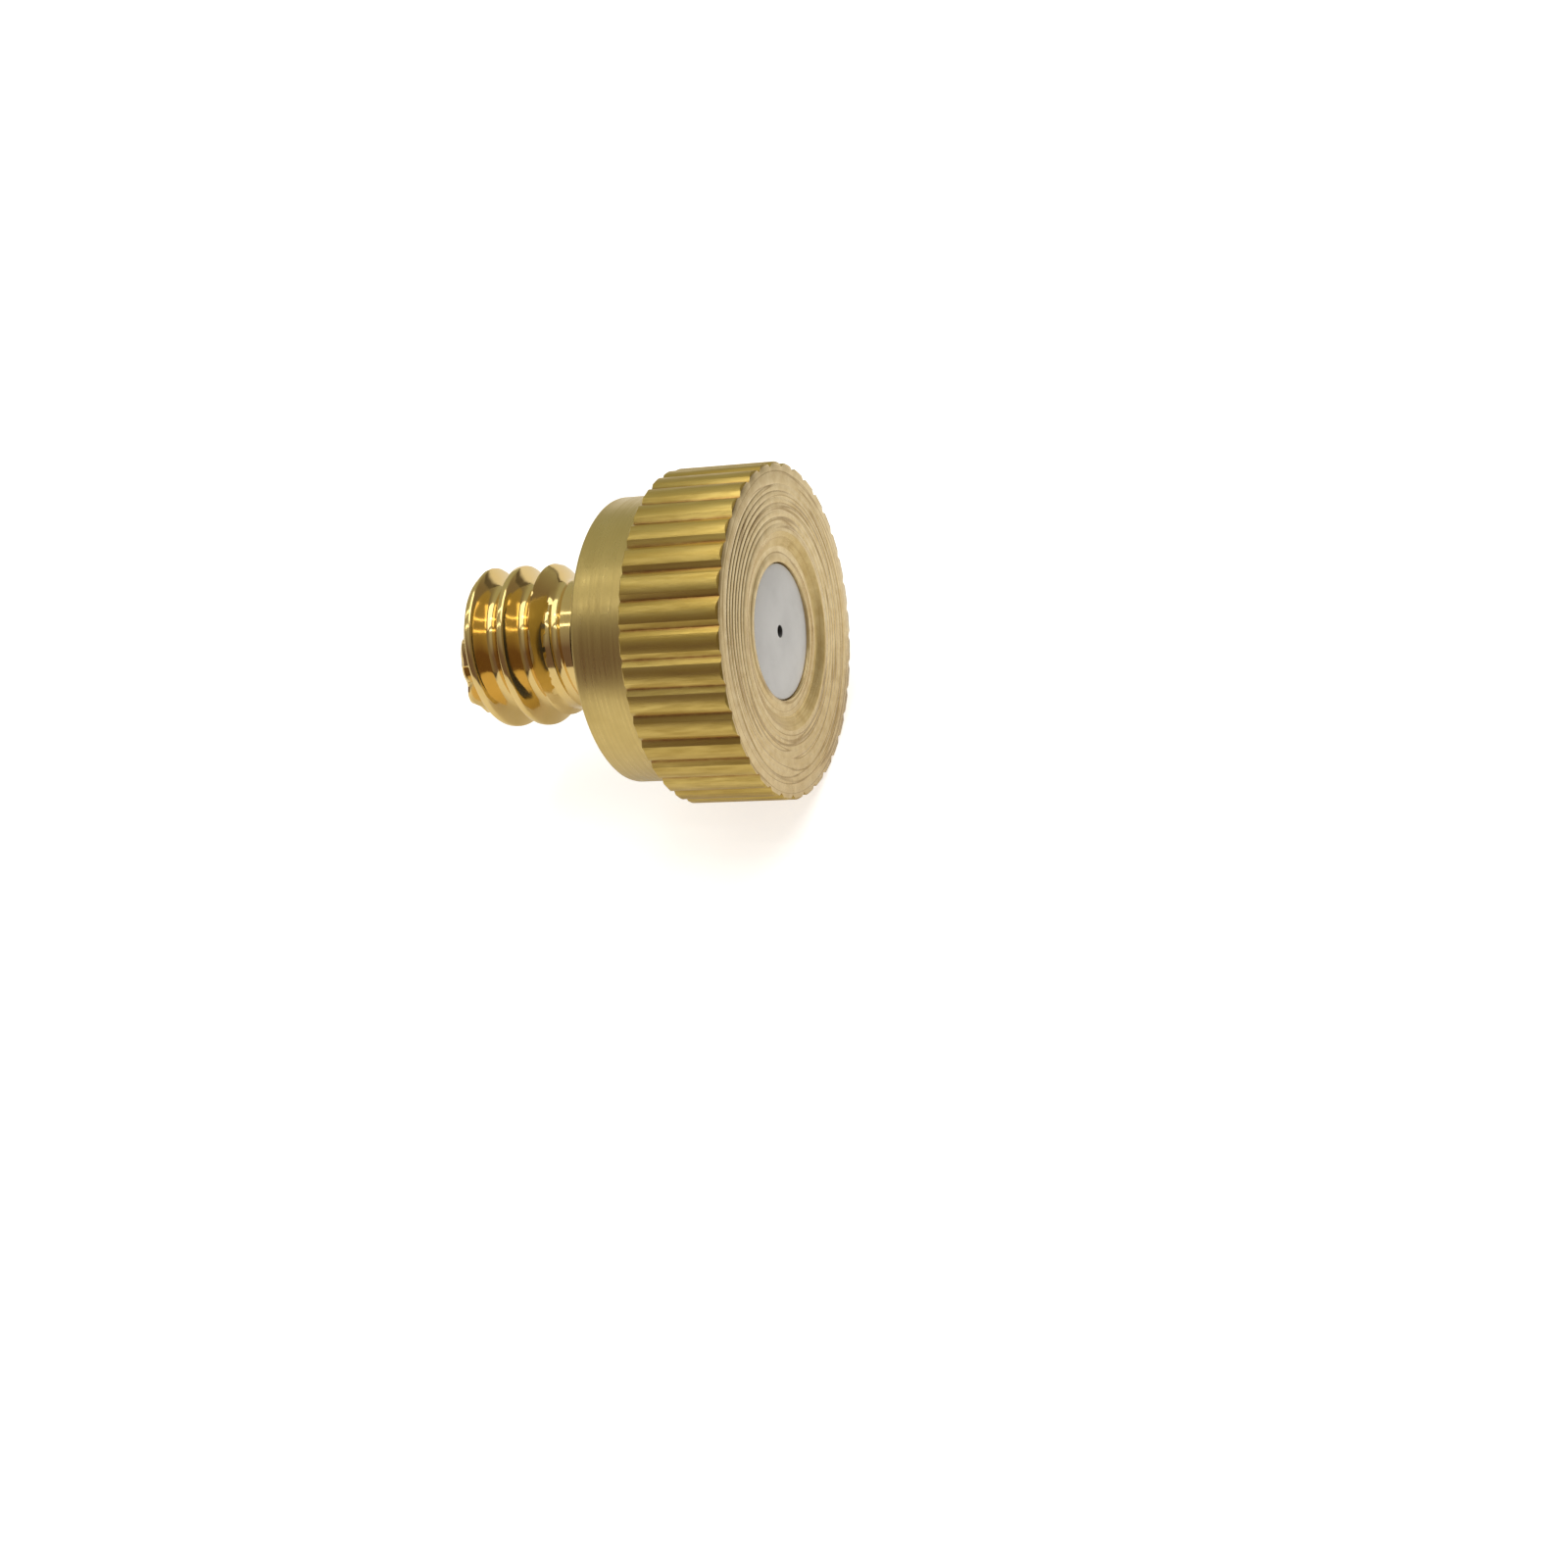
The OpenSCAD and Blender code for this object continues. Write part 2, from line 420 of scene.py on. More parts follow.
@dataclass(frozen=True)
class BrassFinish:
    """Bare brass as one tool left it, with its stains, and darker toward the bottoms of its hollows."""

    title: str
    colour: Colour
    stain: Colour
    stain_size: float
    stain_cover: float
    stain_strength: float
    roughness: float
    streak_roughness: float
    mark_spacing: float
    mark_depth: float
    marks: MarkRun = MarkRun.ROUND_BAR
    streak_colour: Colour = (0.5, 0.35, 0.1, 1.0)
    streak_strength: float = 0.0
    plain_radius: float = 0.0
    darkest_radius: float = -1.0
    darkening: Colour = (0.07, 0.035, 0.012, 1.0)
    stain_roughness: ClassVar[float] = 0.04

    def make(self, groups: SurfaceGroups) -> bpy.types.Material:
        """Builds the material.

        Args:
            groups: The shared shader groups.

        Returns:
            The material.
        """
        material, wiring = new_material(self.title)
        if self.marks is MarkRun.LENGTHWISE:
            marks = groups.drawn_marks.use(wiring, {"Spacing": self.mark_spacing})
            patch = groups.drawn_marks.use(wiring, {"Spacing": self.stain_size}).outputs["Streak"]
        else:
            on_face = float(self.marks is MarkRun.ROUND_FACE)
            marks = groups.lathe_marks.use(wiring, {"On Face": on_face, "Spacing": self.mark_spacing})
            stain_values = {"Size": self.stain_size, "Cover": self.stain_cover}
            patch = groups.blotches.use(wiring, stain_values).outputs["Patch"]
        amount = wiring.math("MULTIPLY", patch, self.stain_strength)
        colour = wiring.blend(amount, self.colour, self.stain)
        if self.streak_strength > 0.0:
            shown = "Line" if self.marks is MarkRun.ROUND_FACE else "Streak"
            streak = wiring.math("MULTIPLY", marks.outputs[shown], self.streak_strength)
            colour = wiring.blend(streak, colour, self.streak_colour)
        # The colour darkens toward the bottoms of the hollows, below the given radii.
        if self.darkest_radius > 0.0:
            darkening_values = {"Plain Radius": self.plain_radius, "Darkest Radius": self.darkest_radius}
            darkening = groups.darkening.use(wiring, darkening_values)
            colour = wiring.blend(darkening.outputs["Darkening"], colour, self.darkening)
        streaked = wiring.remap(
            marks.outputs["Streak"], 0.0, 1.0, self.roughness - self.streak_roughness,
            self.roughness + self.streak_roughness)
        rough = wiring.math("ADD", streaked, wiring.math("MULTIPLY", patch, self.stain_roughness))
        normal = wiring.bump(marks.outputs["Height"], self.mark_depth)
        wiring.surface({"Base Color": colour, "Metallic": 1.0, "Roughness": rough, "Normal": normal})
        return material


@dataclass(frozen=True)
class SteelFinish:
    """Stainless steel with a fine ground face, and a painted shade that blackens the rim of the spray hole
    where hole_r is set.
    """

    title: str
    colour: Colour
    stain: Colour
    metallic: float
    roughness: float
    grain_size: float
    grain_depth: float
    hole_r: float = 0.0
    stain_values: ClassVar[dict[str, float]] = {"Size": 0.9, "Cover": 0.4}
    roughness_swing: ClassVar[float] = 0.05
    hole_shade_fade: ClassVar[float] = 0.012
    hole_shade_colour: ClassVar[Colour] = (0.01, 0.01, 0.01, 1.0)

    def make(self, groups: SurfaceGroups) -> bpy.types.Material:
        """Builds the material.

        Args:
            groups: The shared shader groups.

        Returns:
            The material.
        """
        material, wiring = new_material(self.title)
        patch = groups.blotches.use(wiring, self.stain_values)
        grain = groups.grain.use(wiring, {"Size": self.grain_size})
        colour = wiring.blend(patch.outputs["Patch"], self.colour, self.stain)
        # Painted shade: a black ring over the spray hole's break, so the hole looks darker and wider.
        if self.hole_r > 0.0:
            hole_shade_values = {"Plain Radius": self.hole_r + self.hole_shade_fade, "Darkest Radius": self.hole_r}
            hole_shade = groups.darkening.use(wiring, hole_shade_values)
            colour = wiring.blend(hole_shade.outputs["Darkening"], colour, self.hole_shade_colour)
        rough = wiring.remap(
            grain.outputs["Height"], *GRAIN_RANGE, self.roughness - self.roughness_swing,
            self.roughness + self.roughness_swing)
        normal = wiring.bump(grain.outputs["Height"], self.grain_depth)
        wiring.surface({
            "Base Color": colour, "Metallic": self.metallic, "Roughness": rough, "Normal": normal})
        return material


@dataclass(frozen=True)
class RubberFinish:
    """Moulded nitrile rubber with a little dust on it."""

    title: str
    colour: Colour
    dust: Colour
    roughness: float
    dust_values: ClassVar[dict[str, float]] = {"Size": 0.25, "Cover": 0.3}
    dust_strength: ClassVar[float] = 0.5
    roughness_swing: ClassVar[float] = 0.08
    grain_size: ClassVar[float] = 0.08
    grain_depth: ClassVar[float] = 0.004

    def make(self, groups: SurfaceGroups) -> bpy.types.Material:
        """Builds the material.

        Args:
            groups: The shared shader groups.

        Returns:
            The material.
        """
        material, wiring = new_material(self.title)
        patch = groups.blotches.use(wiring, self.dust_values)
        grain = groups.grain.use(wiring, {"Size": self.grain_size})
        amount = wiring.math("MULTIPLY", patch.outputs["Patch"], self.dust_strength)
        colour = wiring.blend(amount, self.colour, self.dust)
        rough = wiring.remap(
            grain.outputs["Height"], *GRAIN_RANGE, self.roughness - self.roughness_swing,
            self.roughness + self.roughness_swing)
        normal = wiring.bump(grain.outputs["Height"], self.grain_depth)
        wiring.surface({"Base Color": colour, "Roughness": rough, "Normal": normal})
        return material


class BodyFinish(IntEnum):
    """The finishes on the brass body, in the order of its material slots."""

    FACE = 0
    KNURL = 1
    COLLAR = 2
    STEM = 3
    WATERWAY = 4
    SHADED_RECESS = 5


BRASS_FINISHES = {
    BodyFinish.FACE: BrassFinish(
        title="brass_turned_face", colour=(0.80, 0.64, 0.36, 1.0), stain=(0.64, 0.47, 0.21, 1.0),
        stain_size=0.3, stain_cover=0.45, stain_strength=0.7, roughness=0.24, streak_roughness=0.06,
        mark_spacing=0.24, mark_depth=0.005, marks=MarkRun.ROUND_FACE,
        streak_colour=(0.36, 0.23, 0.08, 1.0), streak_strength=0.8),
    # The knurl's colour darkens toward its groove bottoms.
    BodyFinish.KNURL: BrassFinish(
        title="brass_knurled", colour=(0.72, 0.54, 0.17, 1.0), stain=(0.50, 0.34, 0.08, 1.0),
        stain_size=1.1, stain_cover=0.5, stain_strength=0.8, roughness=0.37, streak_roughness=0.06,
        mark_spacing=0.13, mark_depth=0.004, marks=MarkRun.LENGTHWISE,
        streak_colour=(0.46, 0.31, 0.07, 1.0), streak_strength=0.6, plain_radius=4.8, darkest_radius=4.74,
        darkening=(0.26, 0.09, 0.03, 1.0)),
    BodyFinish.COLLAR: BrassFinish(
        title="brass_turned_collar", colour=(0.70, 0.53, 0.20, 1.0), stain=(0.58, 0.42, 0.14, 1.0),
        stain_size=0.9, stain_cover=0.45, stain_strength=0.6, roughness=0.31, streak_roughness=0.05,
        mark_spacing=0.07, mark_depth=0.0018, streak_colour=(0.60, 0.45, 0.17, 1.0), streak_strength=0.4),
    BodyFinish.STEM: BrassFinish(
        title="brass_polished_stem", colour=(0.83, 0.61, 0.25, 1.0), stain=(0.77, 0.55, 0.18, 1.0),
        stain_size=0.7, stain_cover=0.4, stain_strength=0.5, roughness=0.09, streak_roughness=0.02,
        mark_spacing=0.16, mark_depth=0.0005),
    # Painted shade: the recess wall is a darker, more golden copy of the turned face's brass.
    BodyFinish.SHADED_RECESS: BrassFinish(
        title="brass_recess_shaded", colour=(0.74, 0.57, 0.27, 1.0), stain=(0.56, 0.39, 0.14, 1.0),
        stain_size=0.4, stain_cover=0.5, stain_strength=0.7, roughness=0.26, streak_roughness=0.05,
        mark_spacing=0.2, mark_depth=0.003, marks=MarkRun.ROUND_FACE,
        streak_colour=(0.42, 0.28, 0.10, 1.0), streak_strength=0.4),
    BodyFinish.WATERWAY: BrassFinish(
        title="brass_drilled", colour=(0.62, 0.45, 0.18, 1.0), stain=(0.40, 0.26, 0.09, 1.0),
        stain_size=0.6, stain_cover=0.5, stain_strength=0.7, roughness=0.3, streak_roughness=0.05,
        mark_spacing=0.12, mark_depth=0.003),
}


# --- Turning and finishing meshes ----------------------------------------------------------


@dataclass(frozen=True)
class Corner:
    """A corner of a turned profile: its place along the axis, its radius and how far it is rounded."""

    x: float
    r: float
    soft: float = 0.0


class Lathe:
    """A workpiece in millimetres, built up from turned profiles."""

    corner_segments = 3

    def __init__(self) -> None:
        """Starts with an empty workpiece."""
        self.mesh = bmesh.new()

    def round_corners(self, mesh: bmesh.types.BMesh, made: dict[bmesh.types.BMVert, float]) -> None:
        """Rounds the corners of a profile that hasn't been turned yet.

        Args:
            mesh: The mesh that holds the profile.
            made: Each corner and how far it is rounded.
        """
        for soft in sorted(set(made.values())):
            if soft > 0.0:
                corners = [vert for vert, value in made.items() if value == soft]
                bmesh.ops.bevel(
                    mesh, geom=corners, offset=soft, segments=self.corner_segments, profile=0.5,
                    affect="VERTICES", material=-1)

    def take(self, part: bmesh.types.BMesh) -> None:
        """Adds another mesh to the workpiece and merges where they meet.

        Args:
            part: The mesh, which is used up.
        """
        scratch = bpy.data.meshes.new("scratch")
        part.to_mesh(scratch)
        part.free()
        self.mesh.from_mesh(scratch)
        bpy.data.meshes.remove(scratch)
        bmesh.ops.remove_doubles(self.mesh, verts=self.mesh.verts[:], dist=MERGE_GAP)

    def turn(
            self, corners: Sequence[Corner], finish: int = 0, closed: bool = False,
            advance: float = 0.0) -> None:
        """Turns a profile about the spray axis.

        Args:
            corners: The profile, in order.
            finish: The material slot of the new faces.
            closed: Whether the last corner joins the first.
            advance: How far the profile moves along the axis in one turn.
        """
        mesh = bmesh.new()
        made = {mesh.verts.new((corner.x, 0.0, corner.r)): corner.soft for corner in corners}
        chain = list(made)
        pairs = list(zip(chain, chain[1:]))
        if closed:
            pairs.append((chain[-1], chain[0]))
        for pair in pairs:
            mesh.edges.new(pair)
        self.round_corners(mesh, made)
        bmesh.ops.spin(
            mesh, geom=mesh.verts[:] + mesh.edges[:], axis=SPRAY_AXIS, cent=(0.0, 0.0, 0.0), angle=FULL_TURN,
            steps=STEPS_AROUND, dvec=SPRAY_AXIS * (advance / STEPS_AROUND), use_merge=advance == 0.0,
            use_duplicate=False)
        for face in mesh.faces:
            face.material_index = finish
        self.take(mesh)

    def bridge(self, loops: Iterable[bmesh.types.BMEdge], finish: int) -> None:
        """Joins two open rims with a ring of faces.

        Args:
            loops: The edges of both rims.
            finish: The material slot of the new faces.
        """
        made = bmesh.ops.bridge_loops(self.mesh, edges=list(loops))
        for face in made["faces"]:
            face.material_index = finish

    def finish(self, name: str, materials: Sequence[bpy.types.Material]) -> bpy.types.Object:
        """Closes the work and makes it an object in metres.

        Args:
            name: The object's name.
            materials: Its materials, in the order of the slots.

        Returns:
            The object, with its place in its mesh.
        """
        bmesh.ops.recalc_face_normals(self.mesh, faces=self.mesh.faces[:])
        for face in self.mesh.faces:
            face.smooth = True
        open_edges = sum(1 for edge in self.mesh.edges if not edge.is_manifold)
        bmesh.ops.scale(self.mesh, vec=(MM, MM, MM), verts=self.mesh.verts[:])
        data = bpy.data.meshes.new(name)
        self.mesh.to_mesh(data)
        self.mesh.free()
        data.set_sharp_from_angle(angle=SHARP_ANGLE)
        for material in materials:
            data.materials.append(material)
        piece = bpy.data.objects.new(name, data)
        bpy.context.scene.collection.objects.link(piece)
        log.info("%s: %d faces, %d open edges", name, len(data.polygons), open_edges)
        return piece


def node_span(node: str) -> tuple[Vector, Vector]:
    """Returns a CAD node's lowest and highest corners in millimetres."""
    low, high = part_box(node)
    return Vector(low) / MM, Vector(high) / MM


# --- Brass body ----------------------------------------------------------------------------


@dataclass
class KnurledHead:
    """The straight-knurled band round the head, with its chamfered rims."""

    front_x: float
    rear_x: float
    radius: float
    web_r: float = 4.45
    groove_w: float = 0.36
    groove_depth: float = 0.15
    front_chamfer: float = 0.06
    rear_chamfer: float = 0.05
    edge_round: float = 0.035
    crown: float = 0.035
    land_points: int = 7
    bevel_angle: float = math.radians(20.0)
    end_facing: float = 0.9

    def point(self, mesh: bmesh.types.BMesh, angle: float, radius: float) -> bmesh.types.BMVert:
        """Adds a point of the tooth's outline at the rear of the band."""
        return mesh.verts.new((self.rear_x, -radius * math.sin(angle), radius * math.cos(angle)))

    def tooth(self) -> bmesh.types.BMesh:
        """Builds one tooth, from the middle of one groove to the middle of the next.

        Returns:
            The tooth's outer walls and end faces, open at its sides and below.
        """
        mesh = bmesh.new()
        half = math.pi / TEETH
        land = half - self.groove_w / 2.0 / self.radius
        valley_r = self.radius - self.groove_depth
        web = [-half + FULL_TURN / STEPS_AROUND * i for i in range(STEPS_PER_TOOTH + 1)]
        across = [1.0 - 2.0 * i / (self.land_points - 1) for i in range(self.land_points)]
        outline = [self.point(mesh, angle, self.web_r) for angle in web]
        outline.append(self.point(mesh, half, valley_r))
        outline += [self.point(mesh, land * t, self.radius - self.crown * t * t) for t in across]
        outline.append(self.point(mesh, -half, valley_r))
        start = mesh.faces.new(outline)
        pushed = bmesh.ops.extrude_face_region(mesh, geom=[start])
        ends = [item for item in pushed["geom"] if isinstance(item, bmesh.types.BMVert)]
        bmesh.ops.translate(mesh, vec=SPRAY_AXIS * (self.front_x - self.rear_x), verts=ends)
        self.chamfer(mesh, self.front_x, self.front_chamfer, 1.0)
        self.chamfer(mesh, self.rear_x, self.rear_chamfer, -1.0)
        self.open_sides(mesh, half)
        return mesh

    def chamfer(self, mesh: bmesh.types.BMesh, x: float, size: float, outward: float) -> None:
        """Cuts one end of the tooth at 45 degrees.

        Args:
            mesh: The tooth.
            x: Where the end is along the axis.
            size: The chamfer's width.
            outward: The side that the end faces, 1 for the front and -1 for the rear.
        """
        cut = bmesh.ops.bisect_plane(
            mesh, geom=mesh.verts[:] + mesh.edges[:] + mesh.faces[:], dist=MERGE_GAP,
            plane_co=(x, 0.0, self.radius - size), plane_no=(outward, 0.0, 1.0), clear_outer=True)
        rim = [item for item in cut["geom_cut"] if isinstance(item, bmesh.types.BMEdge)]
        bmesh.ops.holes_fill(mesh, edges=rim)

    def open_sides(self, mesh: bmesh.types.BMesh, half: float) -> None:
        """Takes away the walls that the next tooth and the web cover.

        Args:
            mesh: The tooth.
            half: Half of the tooth's angle round the axis.
        """
        hidden = []
        for face in mesh.faces:
            below = all(math.hypot(v.co.y, v.co.z) < self.web_r + MERGE_GAP for v in face.verts)
            angles = [math.atan2(-v.co.y, v.co.z) for v in face.verts]
            beside = all(abs(abs(angle) - half) < MERGE_GAP for angle in angles)
            one_side = max(angles) - min(angles) < half
            if below or (beside and one_side):
                hidden.append(face)
        bmesh.ops.delete(mesh, geom=hidden, context="FACES")

    def add_to(self, lathe: Lathe) -> None:
        """Puts the whole band on the workpiece.

        Args:
            lathe: The workpiece.
        """
        tooth = self.tooth()
        last_turn = FULL_TURN * (TEETH - 1) / TEETH
        bmesh.ops.spin(
            tooth, geom=tooth.verts[:] + tooth.edges[:] + tooth.faces[:], axis=SPRAY_AXIS,
            cent=(0.0, 0.0, 0.0), angle=last_turn, steps=TEETH - 1, use_duplicate=True)
        bmesh.ops.remove_doubles(tooth, verts=tooth.verts[:], dist=MERGE_GAP)
        bmesh.ops.recalc_face_normals(tooth, faces=tooth.faces[:])
        edges = [
            edge for edge in tooth.edges
            if edge.is_manifold and edge.calc_face_angle(0.0) > self.bevel_angle]
        bmesh.ops.bevel(
            tooth, geom=edges, offset=self.edge_round, segments=2, profile=0.5, affect="EDGES", material=-1,
            clamp_overlap=True)
        middle_x = (self.front_x + self.rear_x) / 2.0
        for face in tooth.faces:
            face.material_index = BodyFinish.KNURL
            if abs(face.normal.x) > self.end_facing:
                in_front = face.calc_center_median().x > middle_x
                face.material_index = BodyFinish.FACE if in_front else BodyFinish.COLLAR
        lathe.take(tooth)


@dataclass
class ThreadedStem:
    """The machine thread on the stem, chamfered at its end and relieved at the neck."""

    tip_x: float
    neck_x: float = -1.15
    relief_x: float = -1.9
    runout_r: float = 1.95
    radius: float = 2.4
    neck_r: float = NECK_R
    root_r: float = 1.855
    tip_r: float = 2.15
    pitch: float = 25.4 / 24.0
    crest_w: float = 0.18
    crest_round: float = 0.05
    root_round: float = 0.12
    start_angle: float = math.radians(-96.0)
    flank_angle: float = math.radians(30.0)
    flank_cuts: int = 3
    flank_run: float = 0.12
    long_edge: float = 0.3
    burr_angle: float = math.radians(84.0)
    burr_reach: float = math.radians(45.0)
    burr_len: float = 0.12
    burr_rise: float = 0.32
    burr_lean: float = 0.5
    burr_grain: float = 2.4
    burr_rag: float = 0.5
    burr_mean: float = 0.75
    burr_root: float = 0.02

    def ridge(self, x: float) -> list[Corner]:
        """Lays out one ridge of the thread.

        Args:
            x: Where the middle of its crest is.

        Returns:
            The corners of the ridge.
        """
        half_crest = self.crest_w / 2.0
        foot = half_crest + (self.radius - self.root_r) * math.tan(self.flank_angle)
        corners = [Corner(x - foot, self.root_r, self.root_round)]
        corners += [Corner(x - half_crest, self.radius, self.crest_round)]
        corners += [Corner(x + half_crest, self.radius, self.crest_round)]
        corners += [Corner(x + foot, self.root_r, self.root_round)]
        return corners

    def add_to(self, lathe: Lathe) -> None:
        """Cuts the thread on the workpiece, with both its ends left open.

        Args:
            lathe: The workpiece, which has nothing on it yet.
        """
        crest_x = self.tip_x - self.start_angle / FULL_TURN * self.pitch
        first = math.floor((self.tip_x - self.pitch - crest_x) / self.pitch) - 1
        last = math.ceil((self.neck_x - crest_x) / self.pitch) + 1
        corners: list[Corner] = []
        for k in range(first, last + 1):
            corners += self.ridge(crest_x + k * self.pitch)
        lathe.turn(corners, BodyFinish.STEM, advance=self.pitch)
        mesh = lathe.mesh
        flanks = [
            edge for edge in mesh.edges
            if abs((edge.verts[0].co - edge.verts[1].co).x) > self.flank_run
            or edge.calc_length() > self.long_edge]
        bmesh.ops.subdivide_edges(mesh, edges=flanks, cuts=self.flank_cuts)
        for vert in mesh.verts:
            self.trim(vert)
        for x, keep_front in ((self.tip_x, True), (self.neck_x, False)):
            bmesh.ops.bisect_plane(
                mesh, geom=mesh.verts[:] + mesh.edges[:] + mesh.faces[:], dist=MERGE_GAP,
                plane_co=(x, 0.0, 0.0), plane_no=SPRAY_AXIS, clear_inner=keep_front,
                clear_outer=not keep_front)

    def raise_burr(self, lathe: Lathe) -> None:
        """Leaves a ragged burr on part of the stem's end, where the thread runs off it.

        Args:
            lathe: The workpiece, with the stem's end closed.
        """
        for vert in lathe.mesh.verts:
            radius = math.hypot(vert.co.y, vert.co.z)
            off_middle = math.remainder(math.atan2(-vert.co.y, vert.co.z) - self.burr_angle, FULL_TURN)
            share = 1.0 - abs(off_middle) / self.burr_reach
            inside = radius < self.root_r - self.burr_root
            if vert.co.x > self.tip_x + self.burr_len or inside or share <= 0.0:
                continue
            ragged = noise.noise(vert.co * self.burr_grain) * self.burr_rag + self.burr_mean
            rise = self.burr_rise * math.sqrt(share) * ragged
            vert.co.x -= rise * self.burr_lean
            vert.co.y *= 1.0 + rise / radius
            vert.co.z *= 1.0 + rise / radius

    def trim(self, vert: bmesh.types.BMVert) -> None:
        """Keeps a point within the end chamfer and the relief at the neck.

        Args:
            vert: The point.
        """
        radius = math.hypot(vert.co.y, vert.co.z)
        at_tip = self.tip_r + max(vert.co.x - self.tip_x, 0.0)
        at_neck = max(self.runout_r, self.neck_r + self.relief_x - vert.co.x)
        allowed = min(radius, at_tip, at_neck)
        vert.co.y *= allowed / radius
        vert.co.z *= allowed / radius


@dataclass
class BrassBody:
    """The turned body: knurled head, collar, threaded stem and waterway."""

    collar_x: float = 1.85
    collar_r: float = 4.2
    collar_edge: float = 0.09
    groove_outer_r: float = 3.25
    groove_x: float = 0.45
    neck_r: float = NECK_R
    rim_r: float = 2.88
    floor_r: float = 2.5
    floor_depth: float = 0.17
    lip_r: float = 2.14
    lip_rise: float = 0.035
    lip_run: float = 0.16
    lip_fall: float = 0.4
    seat_r: float = 2.005
    shoulder_x: float = 3.2
    chamber_r: float = 1.5
    chamber_x: float = -0.1
    bore_r: float = 1.0
    bore_taper: float = 0.25
    mouth_r: float = 1.35
    end_r: float = 1.78
    feed: float = 0.19
    feed_depth: float = 0.012
    feed_groove: float = 0.18
    groove_phase: float = math.radians(0.8)
    neck_gap: float = 0.04
    finish_edge: float = 0.02
    floor_edge: float = 0.05
    wall_facing: float = 0.97

    def face_rings(self, front_x: float, web_r: float) -> list[Corner]:
        """Lays out the feed rings that the tool left on the front face.

        Args:
            front_x: Where the face is along the axis.
            web_r: The radius at which the knurled band starts.

        Returns:
            The corners of the rings, from the rim inward.
        """
        count = int((web_r - self.rim_r) / self.feed)
        rings = []
        for i in range(count):
            outer = web_r - self.feed * i
            rings.append(Corner(front_x - (self.feed_depth if i else 0.0), outer))
            rings.append(Corner(front_x, outer - self.feed * self.feed_groove))
            rings.append(Corner(front_x, outer - self.feed * (1.0 - self.feed_groove)))
        return rings

    def front_profile(self, head: KnurledHead) -> list[Corner]:
        """Lays out the profile from the front face down to the insert's seat.

        Args:
            head: The knurled band.

        Returns:
            The corners, in order.
        """
        front = head.front_x
        floor = front - self.floor_depth
        profile = self.face_rings(front, head.web_r)
        profile += [
            Corner(front, self.rim_r, 0.03), Corner(floor, self.floor_r, 0.08),
            Corner(floor, self.lip_r + self.lip_run, 0.06),
            Corner(floor + self.lip_rise, self.lip_r, 0.05),
            Corner(floor + self.lip_rise * self.lip_fall, self.seat_r, 0.02),
            Corner(self.shoulder_x, self.seat_r),
        ]
        return profile

    def bore_profile(self, tip_x: float) -> list[Corner]:
        """Lays out the waterway, from the insert's seat to the inlet's mouth.

        Args:
            tip_x: Where the stem ends.

        Returns:
            The corners, in order.
        """
        return [
            Corner(self.shoulder_x, self.seat_r), Corner(self.shoulder_x, self.chamber_r, 0.03),
            Corner(self.chamber_x, self.chamber_r, 0.05),
            Corner(self.chamber_x - self.bore_taper, self.bore_r, 0.03),
            Corner(tip_x + self.mouth_r - self.bore_r, self.bore_r, 0.05), Corner(tip_x, self.mouth_r),
        ]

    def rear_profile(self, head: KnurledHead, stem: ThreadedStem) -> list[Corner]:
        """Lays out the profile from the back of the head over the collar to the neck.

        Args:
            head: The knurled band.
            stem: The threaded stem.

        Returns:
            The corners, in order.
        """
        return [
            Corner(head.rear_x, head.web_r), Corner(head.rear_x, self.collar_r, 0.03),
            Corner(0.0, self.collar_r, self.collar_edge), Corner(0.0, self.groove_outer_r, 0.03),
            Corner(self.groove_x, self.groove_outer_r, 0.08),
            Corner(self.groove_x, self.neck_r, 0.08),
            Corner(stem.neck_x + self.neck_gap, self.neck_r),
        ]

    def build(self, groups: SurfaceGroups) -> bpy.types.Object:
        """Builds the body as one closed piece.

        Args:
            groups: The shared shader groups.

        Returns:
            The body.
        """
        low, high = node_span("nozzle_body")
        head = KnurledHead(front_x=high.x, rear_x=self.collar_x, radius=high.z)
        stem = ThreadedStem(tip_x=low.x)
        lathe = Lathe()
        stem.add_to(lathe)
        lathe.turn(self.rear_profile(head, stem), BodyFinish.COLLAR)
        lathe.turn(self.bore_profile(low.x), BodyFinish.WATERWAY)
        lathe.turn([Corner(low.x, self.mouth_r), Corner(low.x, self.end_r)], BodyFinish.STEM)
        lathe.turn(self.front_profile(head), BodyFinish.FACE)
        neck_end = stem.neck_x + self.neck_gap
        lathe.bridge(self.open_between(lathe, stem.neck_x, neck_end), BodyFinish.STEM)
        lathe.bridge(self.open_between(lathe, low.x, low.x), BodyFinish.STEM)
        stem.raise_burr(lathe)
        head.add_to(lathe)
        bmesh.ops.rotate(
            lathe.mesh, cent=(0.0, 0.0, 0.0), matrix=Matrix.Rotation(self.groove_phase, 3, "X"),
            verts=lathe.mesh.verts[:])
        self.assign_finishes(lathe)
        materials = [BRASS_FINISHES[finish].make(groups) for finish in BodyFinish]
        body = lathe.finish("brass_body", materials)
        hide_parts("nozzle_body")
        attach(body, "nozzle")
        return body

    @staticmethod
    def open_between(lathe: Lathe, low: float, high: float) -> list[bmesh.types.BMEdge]:
        """Finds the open edges between two places along the axis.

        Args:
            lathe: The workpiece.
            low: The rear place.
            high: The front place.

        Returns:
            The open edges.
        """
        return [
            edge for edge in lathe.mesh.edges
            if edge.is_boundary and all(low - CUT_GAP < vert.co.x < high + CUT_GAP for vert in edge.verts)]

